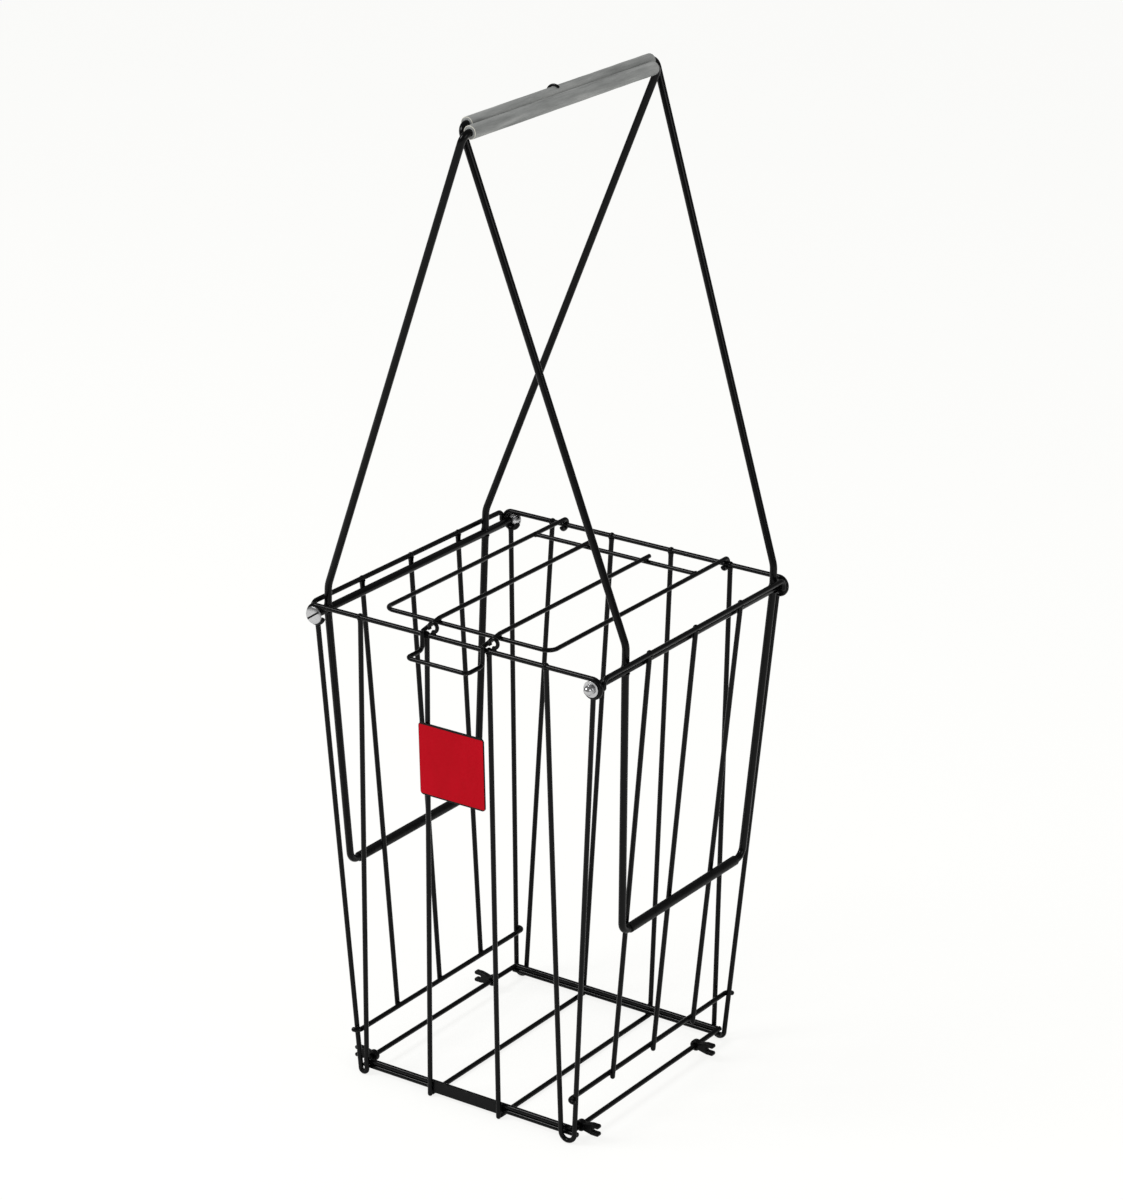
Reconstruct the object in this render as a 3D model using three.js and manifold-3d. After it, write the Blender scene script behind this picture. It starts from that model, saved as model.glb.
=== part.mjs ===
// A tennis ball hopper: a tapered wire basket on its own feet, with two folding carrying handles and a
// hinged lid. Millimetres, +Z up, origin on the ground under the middle of the whole, front towards -Y.
import * as THREE from "three";
import { mergeVertices } from "three/addons/utils/BufferGeometryUtils.js";
import Module from "manifold-3d";

const wasm = await Module();
wasm.setup();

// Wire and tube stock
const panelWire = 4;
const lidWire = 3.5;
const handleWire = 5.8;
const catchWire = 3;
const clipWire = 2;
const tubeOuter = 6.2;
const tubeWall = 1.3;
const gripOuter = 10.5;
const sleeveOuter = 7.8;
// Between pieces that touch or turn on each other
const clearance = 0.3;
// How far two crossing wires of one panel sink into each other at a weld
const weldSink = 0.8;

// Basket: the planes of its four walls, taken at the handles' pivots and near the feet
const pivotHeight = 392;
const pivotHalfWidth = 126.3;
const pivotHalfDepth = 129;
const footHalfWidth = 102.5;
const footHalfDepth = 108.5;
const footHeight = 9;
// The rims lie this far above the pivots, which is also the radius of the loops round the screws
const rimRise = 7;
// The rims also stand this far outside the plane of the uprights
const rimForward = 0.6;
// The ground has worn the wires under the basket flat by this much
const footFlat = 0.15;
// Heights of the side panels' lower wires, and how far the uprights run on below them
const sideWireHeight = 40;
const sideNub = 2.6;
// Uprights: shares of the basket's half width or half depth, left to right, or front to back
const frontTopShares = [-0.672, -0.182, 0.266, 0.67];
const frontFootShares = [-0.94, -0.337, 0.302, 0.875];
const backTopShares = [-0.681, -0.23, 0.214, 0.649];
const backFootShares = [-0.9, -0.337, 0.302, 0.9];
const sideTopShares = [-0.494, 0, 0.494];
const sideFootShares = [-0.532, 0, 0.532];
const sideRodInset = 2.9;

// Bends of the panel wires
const rimEndBend = 5;
const hookTurn = Math.PI / 2;
const loopTurn = (250 * Math.PI) / 180;

// Handles: reach from pivot to grip, lean from upright at rest, and where the legs are across the depth
const handleReach = 417.5;
const handleRightLean = (17.9 * Math.PI) / 180;
const handleLeftLean = (18.9 * Math.PI) / 180;
const handleNearPivot = 87;
const handleFarPivot = 121;
const handleNearGrip = 118.5;
const handleFarGrip = 136.5;
const handleBend = 6.5;
const leftHandleShift = 6;
// The legs stand upright on the pivot tubes up to this height, and lean from there
const handleRise = 19;
const kneeBend = 20;
// Lower loop of a handle, outside the side panel
const loopReach = 220;
const loopNear = 75;
const loopFar = 97;
const loopBend = 9;
const gripEndGap = 1;

// Lid
const lidLeft = 75;
const lidRight = 77;
const lidFront = 112;
const lidCrossBack = 88;
const lidCornerBend = 14;
const pullLeft = 24;
const pullRight = 31;
const pullDrop = 15;
const pullReach = 20;
const pullBend = 4;
const pullCornerBend = 7;
const pullTail = 4;
const lidCurlTurn = (250 * Math.PI) / 180;
const catchRadius = 3.6;
const catchTurn = (310 * Math.PI) / 180;

// Front strip, plate and hooks
const stripHeight = 10;
const stripThickness = 1.2;
const plateWidth = 60;
const plateHeight = 60.5;
const plateThickness = 1.6;
const plateCentreX = -1.4;
const plateCentreHeight = 296.5;
const plateCorner = 3;
const hookThickness = 5;
const hookEye = 4.6;
const hookReach = 17;
const hookSpread = 9.6;
const hookSlot = 3.2;
const hookSlotDepth = 6.5;
const hookFrontPlace = 95;
const hookBackPlace = 70;

// Screws at the pivots: a broad head on the left, a cap nut with its washer on the right
const shankRadius = 1.5;
const shankReach = 12;
const broadHeadRadius = 7;
const broadHeadHeight = 2.6;
const capRadius = 4.3;
const capHeight = 6;
const washerRadius = 6.3;
const washerThickness = 1;
const slotWidth = 1.4;
const slotDepth = 0.9;

// Grip clip, open on the side of the other grip
const clipStart = (40 * Math.PI) / 180;
const clipTurn = Math.PI;

// Sides of a wire's section, and steps in a full turn of a bend
const wireSides = 8;
const turnSteps = 16;

const black = { color: 0x1b1b1c, roughness: 0.35, metalness: 0.4 };
const silver = { color: 0xc8c9cb, roughness: 0.25, metalness: 1 };
const greyFoam = { color: 0x828482, roughness: 0.9, metalness: 0 };
const redPlastic = { color: 0xbe0d1e, roughness: 0.4, metalness: 0 };

const panelRadius = panelWire / 2;
const lidRadius = lidWire / 2;
const handleRadius = handleWire / 2;
const tubeRadius = tubeOuter / 2;
const up = new THREE.Vector3(0, 0, 1);
const along = new THREE.Vector3(0, 1, 0);
const across = new THREE.Vector3(1, 0, 0);

function at(x, y, z) {
  return new THREE.Vector3(x, y, z);
}

// Half width and half depth of the basket's walls at a height
function wallShare(z) {
  return (z - footHeight) / (pivotHeight - footHeight);
}
function halfWidthAt(z) {
  return THREE.MathUtils.lerp(footHalfWidth, pivotHalfWidth, wallShare(z));
}
function halfDepthAt(z) {
  return THREE.MathUtils.lerp(footHalfDepth, pivotHalfDepth, wallShare(z));
}

// Heights and places that several pieces share
const rimHeight = pivotHeight + rimRise;
const rimDepth = halfDepthAt(rimHeight) + rimForward;
const groundWireHeight = panelRadius - footFlat;
const lowBarHeight = groundWireHeight + panelWire + clearance;
const highBarHeight = lowBarHeight + panelWire + clearance;
const barDepth = halfDepthAt(groundWireHeight) - panelWire - clearance;
const sideRodX = footHalfWidth - sideRodInset;
const lidHeight = rimHeight + panelRadius + clearance + lidRadius;
const pullHeight = lidHeight + lidWire + clearance;
const sideTopX = pivotHalfWidth + tubeRadius + clearance + panelRadius;
const sideWireX = halfWidthAt(sideWireHeight) - panelWire - clearance;
const sideFootX = sideWireX + panelWire - weldSink;

// The points of an arc in the plane of two directions
function arc(centre, first, second, radius, from, to) {
  const steps = Math.max(2, Math.ceil((Math.abs(to - from) / (2 * Math.PI)) * turnSteps));
  const points = [];
  for (let i = 0; i <= steps; i++) {
    const angle = from + ((to - from) * i) / steps;
    const point = centre.clone().addScaledVector(first, radius * Math.cos(angle));
    points.push(point.addScaledVector(second, radius * Math.sin(angle)));
  }
  return points;
}

// A wire's centre line: straight runs between the points, with every inner corner bent round
function bent(points, radii) {
  const line = [points[0]];
  for (let i = 1; i < points.length - 1; i++) {
    const corner = points[i];
    const back = points[i - 1].clone().sub(corner).normalize();
    const ahead = points[i + 1].clone().sub(corner).normalize();
    const radius = Array.isArray(radii) ? radii[i - 1] : radii;
    const half = back.angleTo(ahead) / 2;
    const middle = back.clone().add(ahead).normalize();
    const centre = corner.clone().addScaledVector(middle, radius / Math.sin(half));
    const start = corner.clone().addScaledVector(back, radius / Math.tan(half));
    const end = corner.clone().addScaledVector(ahead, radius / Math.tan(half));
    const first = start.sub(centre).divideScalar(radius);
    const last = end.sub(centre).divideScalar(radius);
    const sweep = first.angleTo(last);
    const second = last.clone().addScaledVector(first, -Math.cos(sweep)).divideScalar(Math.sin(sweep));
    line.push(...arc(centre, first, second, radius, 0, sweep));
  }
  line.push(points[points.length - 1]);
  return line;
}

// A path that takes one extrusion step from each of its points to the next
class WirePath extends THREE.Curve {
  constructor(points) {
    super();
    this.points = points;
  }
  getPoint(t, target = new THREE.Vector3()) {
    const place = t * (this.points.length - 1);
    const i = Math.min(Math.floor(place + Number.EPSILON), this.points.length - 2);
    return target.lerpVectors(this.points[i], this.points[i + 1], place - i);
  }
  getPointAt(t, target) {
    return this.getPoint(t, target);
  }
  // Midway between the directions of the two steps that meet at a point
  getTangentAt(t, target = new THREE.Vector3()) {
    const last = this.points.length - 1;
    const i = Math.round(t * last);
    const step = (k) => this.points[k + 1].clone().sub(this.points[k]).normalize();
    return target.copy(step(Math.max(i - 1, 0))).add(step(Math.min(i, last - 1))).normalize();
  }
}

// A closed geometry as a manifold solid
function solidOf(geometry) {
  geometry.deleteAttribute("normal");
  geometry.deleteAttribute("uv");
  const merged = mergeVertices(geometry);
  const vertProperties = merged.attributes.position.array;
  const triVerts = new Uint32Array(merged.index.array);
  return new wasm.Manifold(new wasm.Mesh({ numProp: 3, vertProperties, triVerts }));
}

// A round wire along a list of points. Its section has a flat side towards its frame, or an edge where it is
// turned, as uprights are, so that welded wires never meet flat on flat.
function wire(points, diameter, turned = false) {
  const section = new THREE.Shape();
  for (let i = 0; i < wireSides; i++) {
    const angle = ((i + (turned ? 0 : 1 / 2)) * 2 * Math.PI) / wireSides;
    const x = (diameter / 2) * Math.cos(angle);
    const y = (diameter / 2) * Math.sin(angle);
    if (i === 0) section.moveTo(x, y);
    else section.lineTo(x, y);
  }
  section.closePath();
  const extrudePath = new WirePath(points);
  return solidOf(new THREE.ExtrudeGeometry(section, { steps: points.length - 1, extrudePath }));
}

function union(solids) {
  return solids.reduce((whole, solid) => whole.add(solid));
}

function box(width, depth, height, centre) {
  return solidOf(new THREE.BoxGeometry(width, depth, height).translate(centre.x, centre.y, centre.z));
}

// A tube along Y
function tube(outer, inner, length, centre) {
  const outline = new THREE.Shape().absarc(0, 0, outer, 0, 2 * Math.PI);
  outline.holes.push(new THREE.Path().absarc(0, 0, inner, 0, 2 * Math.PI, true));
  const geometry = new THREE.ExtrudeGeometry(outline, {
    depth: length,
    bevelEnabled: false,
    curveSegments: turnSteps,
  });
  geometry.translate(0, 0, -length / 2).rotateX(-Math.PI / 2);
  return solidOf(geometry.translate(centre.x, centre.y, centre.z));
}

function mesh(name, solid, finish) {
  const data = solid.getMesh();
  const geometry = new THREE.BufferGeometry();
  geometry.setAttribute("position", new THREE.BufferAttribute(new Float32Array(data.vertProperties), 3));
  geometry.setIndex(new THREE.BufferAttribute(new Uint32Array(data.triVerts), 1));
  geometry.computeVertexNormals();
  const made = new THREE.Mesh(geometry, new THREE.MeshStandardMaterial(finish));
  made.name = name;
  return made;
}

// Front or back panel: the rim wire with a loop round each screw, four uprights, and a corner post on each
// side that turns under into the outer upright
function endPanel(facing, topShares, footShares) {
  const y = facing * rimDepth;
  const leftLoop = arc(at(-pivotHalfWidth, y, pivotHeight), up, across, rimRise, -loopTurn, 0);
  const rightLoop = arc(at(pivotHalfWidth, y, pivotHeight), up, across, rimRise, 0, loopTurn);
  const pieces = [wire([...leftLoop, ...rightLoop], panelWire)];
  const place = (x, z) => at(x, facing * halfDepthAt(z), z);
  const foot = panelRadius;
  topShares.forEach((share, i) => {
    const top = place(share * pivotHalfWidth, rimHeight);
    const footX = footShares[i] * footHalfWidth;
    const side = Math.sign(footX);
    const outer = i === 0 || i === topShares.length - 1;
    if (!outer) {
      pieces.push(wire([top, place(footX, foot)], panelWire, true));
      return;
    }
    const postFoot = side * halfWidthAt(foot);
    const postTop = place(side * halfWidthAt(pivotHeight - rimRise), pivotHeight - rimRise);
    const turn = Math.abs(postFoot - footX) / 2;
    const centre = place((postFoot + footX) / 2, foot + turn);
    const under = arc(centre, across, up, turn, side > 0 ? Math.PI : 0, side > 0 ? 2 * Math.PI : -Math.PI);
    pieces.push(wire([top, ...under, postTop], panelWire, true));
  });
  return union(pieces);
}

// Side panel: the top wire, whose ends turn down behind the loops, three uprights and a lower wire that
// hooks round both corner posts
function sidePanel(side) {
  const place = (y, z) => {
    const share = (z - sideWireHeight) / (pivotHeight - sideWireHeight);
    return at(side * THREE.MathUtils.lerp(sideFootX, sideTopX, share), y, z);
  };
  const endY = rimDepth - panelWire - clearance;
  const topX = place(0, rimHeight).x + side * rimForward;
  const endLow = pivotHeight;
  const topLine = [
    at(topX, -endY, endLow),
    at(topX, -endY, rimHeight),
    at(topX, endY, rimHeight),
    at(topX, endY, endLow),
  ];
  const pieces = [wire(bent(topLine, rimEndBend), panelWire)];
  sideTopShares.forEach((share, i) => {
    const top = place(share * pivotHalfDepth, rimHeight);
    const foot = place(sideFootShares[i] * footHalfDepth, sideWireHeight - sideNub);
    pieces.push(wire([top, foot], panelWire, true));
  });
  const postX = side * halfWidthAt(sideWireHeight);
  const postY = halfDepthAt(sideWireHeight);
  const inward = at(-side, 0, 0);
  const hookRadius = panelWire + clearance;
  const front = arc(at(postX, -postY, sideWireHeight), inward, at(0, -1, 0), hookRadius, 0, hookTurn);
  const back = arc(at(postX, postY, sideWireHeight), inward, along, hookRadius, 0, hookTurn);
  pieces.push(wire([...front.reverse(), ...back], panelWire));
  return union(pieces);
}

// A straight wire between two places
function rod(from, to, diameter = panelWire) {
  return wire([from, to], diameter);
}

// A ground wire, worn flat underneath
function groundWire(x) {
  const reach = halfDepthAt(groundWireHeight) - panelRadius - clearance;
  const whole = rod(at(x, -reach, groundWireHeight), at(x, reach, groundWireHeight));
  return whole.subtract(box(panelWire, reach * 2 + panelWire, panelWire, at(x, 0, -panelRadius)));
}

// A fork on the side rod, with its eye round the rod and two prongs that point outwards
function hook(side, y) {
  const eyeRadius = panelRadius + clearance;
  const outline = new THREE.Shape();
  const half = hookSpread / 2;
  const neck = hookEye * Math.SQRT1_2;
  const slotRoot = hookReach - hookSlotDepth;
  outline.moveTo(neck, neck);
  outline.absarc(0, 0, hookEye, Math.PI / 4, (7 * Math.PI) / 4);
  outline.lineTo(slotRoot, -half);
  outline.lineTo(hookReach, -half);
  outline.lineTo(hookReach, -hookSlot / 2);
  outline.lineTo(slotRoot, -hookSlot / 2);
  outline.lineTo(slotRoot, hookSlot / 2);
  outline.lineTo(hookReach, hookSlot / 2);
  outline.lineTo(hookReach, half);
  outline.lineTo(slotRoot, half);
  outline.closePath();
  outline.holes.push(new THREE.Path().absarc(0, 0, eyeRadius, 0, 2 * Math.PI, true));
  const geometry = new THREE.ExtrudeGeometry(outline, {
    depth: hookThickness,
    bevelEnabled: false,
    curveSegments: turnSteps / 2,
  });
  geometry.translate(0, 0, -hookThickness / 2).rotateX(Math.PI / 2);
  if (side < 0) geometry.rotateZ(Math.PI);
  return solidOf(geometry.translate(side * sideRodX, y, highBarHeight));
}

// A screw along -Y from its origin on the loop's outer face, with a shank that runs back along +Y
function screw(headRadius, headHeight, seat, slotted) {
  const reach = seat + panelWire + shankReach;
  const rise = headHeight / 2;
  const profile = [
    new THREE.Vector2(0, -reach),
    new THREE.Vector2(shankRadius, -reach),
    new THREE.Vector2(shankRadius, 0),
    new THREE.Vector2(headRadius, 0),
    new THREE.Vector2(headRadius, rise),
    new THREE.Vector2(headRadius * Math.cos(Math.PI / 6), rise + rise * Math.sin(Math.PI / 6)),
    new THREE.Vector2(headRadius * Math.cos(Math.PI / 3), rise + rise * Math.sin(Math.PI / 3)),
    new THREE.Vector2(0, headHeight),
  ];
  const whole = solidOf(new THREE.LatheGeometry(profile, turnSteps));
  if (!slotted) return whole;
  return whole.subtract(box(headRadius * 2, slotDepth * 2, slotWidth, at(0, headHeight, 0)));
}

function washer() {
  return tube(washerRadius, shankRadius + clearance, washerThickness, at(0, washerThickness / 2, 0));
}

// Upper part of a handle, upright in its own frame with the pivot at the origin
function handleUpper() {
  const knee = (y) => at(handleRise * Math.sin(handleRightLean), y, handleRise * Math.cos(handleRightLean));
  const line = [
    at(0, -handleNearPivot, 0),
    knee(-handleNearPivot),
    at(0, -handleNearGrip, handleReach),
    at(0, handleFarGrip, handleReach),
    knee(handleFarPivot),
    at(0, handleFarPivot, 0),
  ];
  return wire(bent(line, [kneeBend, handleBend, handleBend, kneeBend]), handleWire).subtract(pivotCut());
}

// Lower loop of a handle, hanging straight down in its own frame
function handleLower() {
  const line = [
    at(0, -handleNearPivot, 0),
    at(0, -loopNear, -loopReach),
    at(0, loopFar, -loopReach),
    at(0, handleFarPivot, 0),
  ];
  return wire(bent(line, loopBend), handleWire).subtract(pivotCut());
}

// What the legs leave free round the pivot tube they are welded to
function pivotCut() {
  const radius = tubeRadius + clearance;
  const reach = handleFarPivot * 2 + handleWire * 2;
  return solidOf(new THREE.CylinderGeometry(radius, radius, reach, turnSteps));
}

const hopper = new THREE.Group();

// Basket
hopper.add(mesh("front_panel", endPanel(-1, frontTopShares, frontFootShares), black));
hopper.add(mesh("back_panel", endPanel(1, backTopShares, backFootShares), black));
for (const [name, side] of [["left", -1], ["right", 1]]) {
  hopper.add(mesh("side_panel_" + name, sidePanel(side), black));
  const rodX = side * sideRodX;
  const reach = barDepth + panelRadius;
  const sideRod = rod(at(rodX, -reach, highBarHeight), at(rodX, reach, highBarHeight));
  hopper.add(mesh("side_rod_" + name, sideRod, black));
  hopper.add(mesh("hook_front_" + name, hook(side, -hookFrontPlace), black));
  hopper.add(mesh("hook_back_" + name, hook(side, hookBackPlace), black));
}
const groundLeftX = frontFootShares[1] * footHalfWidth;
const groundRightX = frontFootShares[2] * footHalfWidth;
hopper.add(mesh("ground_wire_left", groundWire(groundLeftX), black));
hopper.add(mesh("ground_wire_right", groundWire(groundRightX), black));
for (const [name, facing] of [["front", -1], ["back", 1]]) {
  const y = facing * barDepth;
  const lowHalf = halfWidthAt(lowBarHeight);
  const highHalf = sideRodX - panelRadius - clearance;
  const low = rod(at(-lowHalf, y, lowBarHeight), at(lowHalf, y, lowBarHeight));
  const high = rod(at(-highHalf, y, highBarHeight), at(highHalf, y, highBarHeight));
  hopper.add(mesh(name + "_low_bar", low, black));
  hopper.add(mesh(name + "_high_bar", high, black));
}

// Front strip between the two middle uprights, over both bars
const stripLeft = groundLeftX + panelRadius + clearance;
const stripRight = groundRightX - panelRadius - clearance;
const stripY = -(barDepth + panelRadius + clearance + stripThickness / 2);
const stripCentre = at((stripLeft + stripRight) / 2, stripY, (lowBarHeight + highBarHeight) / 2);
const strip = box(stripRight - stripLeft, stripThickness, stripHeight, stripCentre);
hopper.add(mesh("front_strip", strip, black));

// Plate on the front panel, parallel to it
const plateOutline = new THREE.Shape();
const plateEdgeX = plateWidth / 2 - plateCorner;
const plateEdgeY = plateHeight / 2 - plateCorner;
plateOutline.absarc(plateEdgeX, plateEdgeY, plateCorner, 0, Math.PI / 2);
plateOutline.absarc(-plateEdgeX, plateEdgeY, plateCorner, Math.PI / 2, Math.PI);
plateOutline.absarc(-plateEdgeX, -plateEdgeY, plateCorner, Math.PI, (3 * Math.PI) / 2);
plateOutline.absarc(plateEdgeX, -plateEdgeY, plateCorner, (3 * Math.PI) / 2, 2 * Math.PI);
const plateShape = { depth: plateThickness, bevelEnabled: false, curveSegments: turnSteps / 4 };
const plate = mesh("plate", solidOf(new THREE.ExtrudeGeometry(plateOutline, plateShape)), redPlastic);
const wallLean = Math.atan((pivotHalfDepth - footHalfDepth) / (pivotHeight - footHeight));
const plateOff = (panelRadius + clearance) / Math.cos(wallLean);
plate.position.set(plateCentreX, -halfDepthAt(plateCentreHeight) - plateOff, plateCentreHeight);
plate.rotation.x = Math.PI / 2 + wallLean;
hopper.add(plate);

// Screws at the four ends of the pivots
for (const [name, facing] of [["front", -1], ["back", 1]]) {
  for (const [sideName, side] of [["left", -1], ["right", 1]]) {
    const corner = new THREE.Group();
    corner.position.set(side * pivotHalfWidth, facing * (rimDepth + panelRadius + clearance), pivotHeight);
    if (facing < 0) corner.rotation.z = Math.PI;
    const seat = side > 0 ? washerThickness + clearance : 0;
    const capped = screw(capRadius, capHeight, seat, false);
    const broad = screw(broadHeadRadius, broadHeadHeight, seat, true);
    const screwMesh = mesh("screw_" + name + "_" + sideName, side > 0 ? capped : broad, silver);
    screwMesh.position.y = seat;
    corner.add(screwMesh);
    if (side > 0) corner.add(mesh("washer_" + name + "_" + sideName, washer(), silver));
    hopper.add(corner);
  }
}

// Handles: one shape, used twice. The left one is the right one turned half round.
const kink = handleRightLean + Math.atan((pivotHalfWidth - loopBarX()) / loopReach);
function loopBarX() {
  const height = pivotHeight - loopReach;
  const share = (height - sideWireHeight) / (pivotHeight - sideWireHeight);
  const uprightX = THREE.MathUtils.lerp(sideFootX, sideTopX, share);
  return uprightX + panelRadius + clearance + sleeveOuter / 2;
}
for (const [name, side, lean, shift] of [
  ["right", 1, handleRightLean, 0],
  ["left", -1, handleLeftLean, leftHandleShift],
]) {
  const turned = new THREE.Group();
  turned.position.set(side * pivotHalfWidth, shift, pivotHeight);
  if (side < 0) turned.rotation.z = Math.PI;
  const leaning = new THREE.Group();
  leaning.rotation.y = -lean;
  const lower = new THREE.Group();
  lower.rotation.y = kink;
  leaning.add(lower);
  turned.add(leaning);
  hopper.add(turned);

  const tubeReach = (rimDepth - panelRadius - clearance) * 2;
  const bore = tubeRadius - tubeWall;
  const tubeCentre = at(0, -shift * side, 0);
  leaning.add(mesh("pivot_tube_" + name, tube(tubeRadius, bore, tubeReach, tubeCentre), black));
  leaning.add(mesh("handle_" + name, handleUpper(), black));
  lower.add(mesh("handle_loop_" + name, handleLower(), black));

  const gripFrom = -handleNearGrip + handleBend + gripEndGap;
  const gripTo = handleFarGrip - handleBend - gripEndGap;
  const gripCentre = at(0, (gripFrom + gripTo) / 2, handleReach);
  const gripBore = handleRadius + clearance;
  leaning.add(mesh("grip_" + name, tube(gripOuter / 2, gripBore, gripTo - gripFrom, gripCentre), greyFoam));

  const sleeveFrom = -loopNear + loopBend + gripEndGap;
  const sleeveTo = loopFar - loopBend - gripEndGap;
  const sleeveCentre = at(0, (sleeveFrom + sleeveTo) / 2, -loopReach);
  const sleeve = tube(sleeveOuter / 2, gripBore, sleeveTo - sleeveFrom, sleeveCentre);
  lower.add(mesh("sleeve_" + name, sleeve, black));

  if (side > 0) {
    const clipRadius = gripOuter / 2 + clearance + clipWire / 2;
    const clipLine = arc(at(0, 0, handleReach), across, up, clipRadius, clipStart, clipStart + clipTurn);
    leaning.add(mesh("grip_clip", wire(clipLine, clipWire), black));
  }
}

// Lid: a bent frame that curls round the back rim, a cross wire, and a pull wire that reaches over the
// front rim
const curlRadius = panelRadius + clearance + lidRadius;
const curlStart = lidCurlTurn;
const leftCurl = arc(at(-lidLeft, rimDepth, rimHeight), up, along, curlRadius, curlStart, 0);
const rightCurl = arc(at(lidRight, rimDepth, rimHeight), up, along, curlRadius, 0, curlStart);
const leftSide = at(-lidLeft, rimDepth, lidHeight);
const rightSide = at(lidRight, rimDepth, lidHeight);
const frameLine = bent(
  [leftSide, at(-lidLeft, -lidFront, lidHeight), at(lidRight, -lidFront, lidHeight), rightSide],
  lidCornerBend,
);
const lidLine = [...leftCurl, ...frameLine.slice(1, -1), ...rightCurl];
hopper.add(mesh("lid_frame", wire(lidLine, lidWire), black));
const crossLeft = at(-lidLeft + lidWire + clearance - lidRadius, lidCrossBack, lidHeight);
const crossRight = at(lidRight - lidWire - clearance + lidRadius, lidCrossBack, lidHeight);
hopper.add(mesh("lid_cross_wire", rod(crossLeft, crossRight, lidWire), black));
const dropY = -(rimDepth + panelRadius + clearance + lidRadius);
const pullLow = lidHeight - pullDrop;
const pullHalf = (x) => [
  at(x, lidCrossBack + pullTail, pullHeight),
  at(x, -lidFront, pullHeight),
  at(x, dropY, lidHeight),
  at(x, dropY, pullLow),
  at(x, dropY - pullReach, pullLow),
];
const pullLine = bent(
  [...pullHalf(-pullLeft), ...pullHalf(pullRight).reverse()],
  [pullBend, pullBend / 2, pullBend, pullCornerBend, pullCornerBend, pullBend, pullBend / 2, pullBend],
);
hopper.add(mesh("lid_pull_wire", wire(pullLine, lidWire), black));

// Catches on the front rim, one beside each arm of the pull wire
for (const [name, x] of [["left", -pullLeft], ["right", pullRight]]) {
  const outer = catchRadius + catchWire / 2;
  const centre = at(x + lidRadius + clearance + outer, -rimDepth, rimHeight + panelRadius + clearance + outer);
  const from = -Math.PI / 2;
  const line = arc(centre, across, up, catchRadius, from, from + catchTurn);
  hopper.add(mesh("catch_" + name, wire(line, catchWire), black));
}

// The origin lies under the middle of the whole, pull wire and screws included
const middle = new THREE.Box3().setFromObject(hopper, true).getCenter(new THREE.Vector3());
hopper.position.set(-middle.x, -middle.y, 0);
const model = new THREE.Group();
model.add(hopper);

export default model;
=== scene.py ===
import math

import bpy
import numpy as np
from mathutils import Matrix, Vector, noise


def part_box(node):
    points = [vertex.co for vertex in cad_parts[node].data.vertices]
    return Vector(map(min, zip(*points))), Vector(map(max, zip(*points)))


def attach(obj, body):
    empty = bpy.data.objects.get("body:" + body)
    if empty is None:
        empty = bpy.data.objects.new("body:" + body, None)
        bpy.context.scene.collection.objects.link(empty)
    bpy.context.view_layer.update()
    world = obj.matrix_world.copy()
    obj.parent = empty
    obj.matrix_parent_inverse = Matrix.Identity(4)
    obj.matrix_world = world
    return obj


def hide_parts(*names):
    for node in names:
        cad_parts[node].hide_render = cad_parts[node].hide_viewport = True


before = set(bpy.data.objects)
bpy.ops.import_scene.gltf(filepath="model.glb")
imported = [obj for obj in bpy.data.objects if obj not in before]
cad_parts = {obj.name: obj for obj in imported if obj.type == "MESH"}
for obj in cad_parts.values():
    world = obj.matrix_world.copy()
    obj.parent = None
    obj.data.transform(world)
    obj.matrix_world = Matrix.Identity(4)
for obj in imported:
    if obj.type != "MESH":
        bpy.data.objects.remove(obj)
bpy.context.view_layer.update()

MM = 0.001

# Wire and tube stock, in millimetres, as in the frame
WIRE = 4.0
LID_WIRE = 3.5
HANDLE_WIRE = 5.8
CATCH_WIRE = 3.0
CLIP_WIRE = 2.0
TUBE = 6.2
TUBE_BORE = 3.6
GRIP = 10.5
SLEEVE = 7.8
GAP = 0.3
WIRE_R = WIRE / 2
LID_R = LID_WIRE / 2
HANDLE_R = HANDLE_WIRE / 2

# Smoothness of what is swept or turned
SIDES = 20
HANDLE_SIDES = 24
CATCH_SIDES = 16
SMALL_SIDES = 14
TUBE_SIDES = 32
TURNED_SIDES = 48
ARC_STEP = math.radians(7.5)
SHARP_ANGLE = math.radians(38)
CUT_SHARP_ANGLE = math.radians(30)
STEEP = 0.9
TINY = 1e-6


def centre_mm(node):
    """The middle of a frame node's box, in millimetres."""
    low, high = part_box(node)
    return np.array((low + high) / 2) / MM


# Basket, seen from the pivots that the frame holds
pivot_right = centre_mm("pivot_tube_right")
pivot_left = centre_mm("pivot_tube_left")
PIVOT_HEIGHT = pivot_right[2]
PIVOT_HALF_WIDTH = (pivot_right[0] - pivot_left[0]) / 2
SHIFT = np.array([(pivot_right[0] + pivot_left[0]) / 2, pivot_right[1], 0])
PIVOT_HALF_DEPTH = 129.0
FOOT_HALF_WIDTH = 102.5
FOOT_HALF_DEPTH = 108.5
FOOT_HEIGHT = 9.0
RIM_RISE = 7.0
RIM_FORWARD = 0.6
RIM_END_BEND = 5.0
SIDE_WIRE_HEIGHT = 40.0
SIDE_NUB = 2.6
SIDE_ROD_INSET = 2.9
GROUND_HEIGHT = 1.85
LOOP_TURN = math.radians(250)
# The round wire's loops are this much narrower than high, to stay inside the frame's box
LOOP_SQUEEZE = 0.962
HOOK_TURN = math.radians(90)
FRONT_TOP_SHARES = [-0.672, -0.182, 0.266, 0.67]
FRONT_FOOT_SHARES = [-0.94, -0.337, 0.302, 0.875]
BACK_TOP_SHARES = [-0.681, -0.23, 0.214, 0.649]
BACK_FOOT_SHARES = [-0.9, -0.337, 0.302, 0.9]
SIDE_TOP_SHARES = [-0.494, 0, 0.494]
SIDE_FOOT_SHARES = [-0.532, 0, 0.532]

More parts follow.
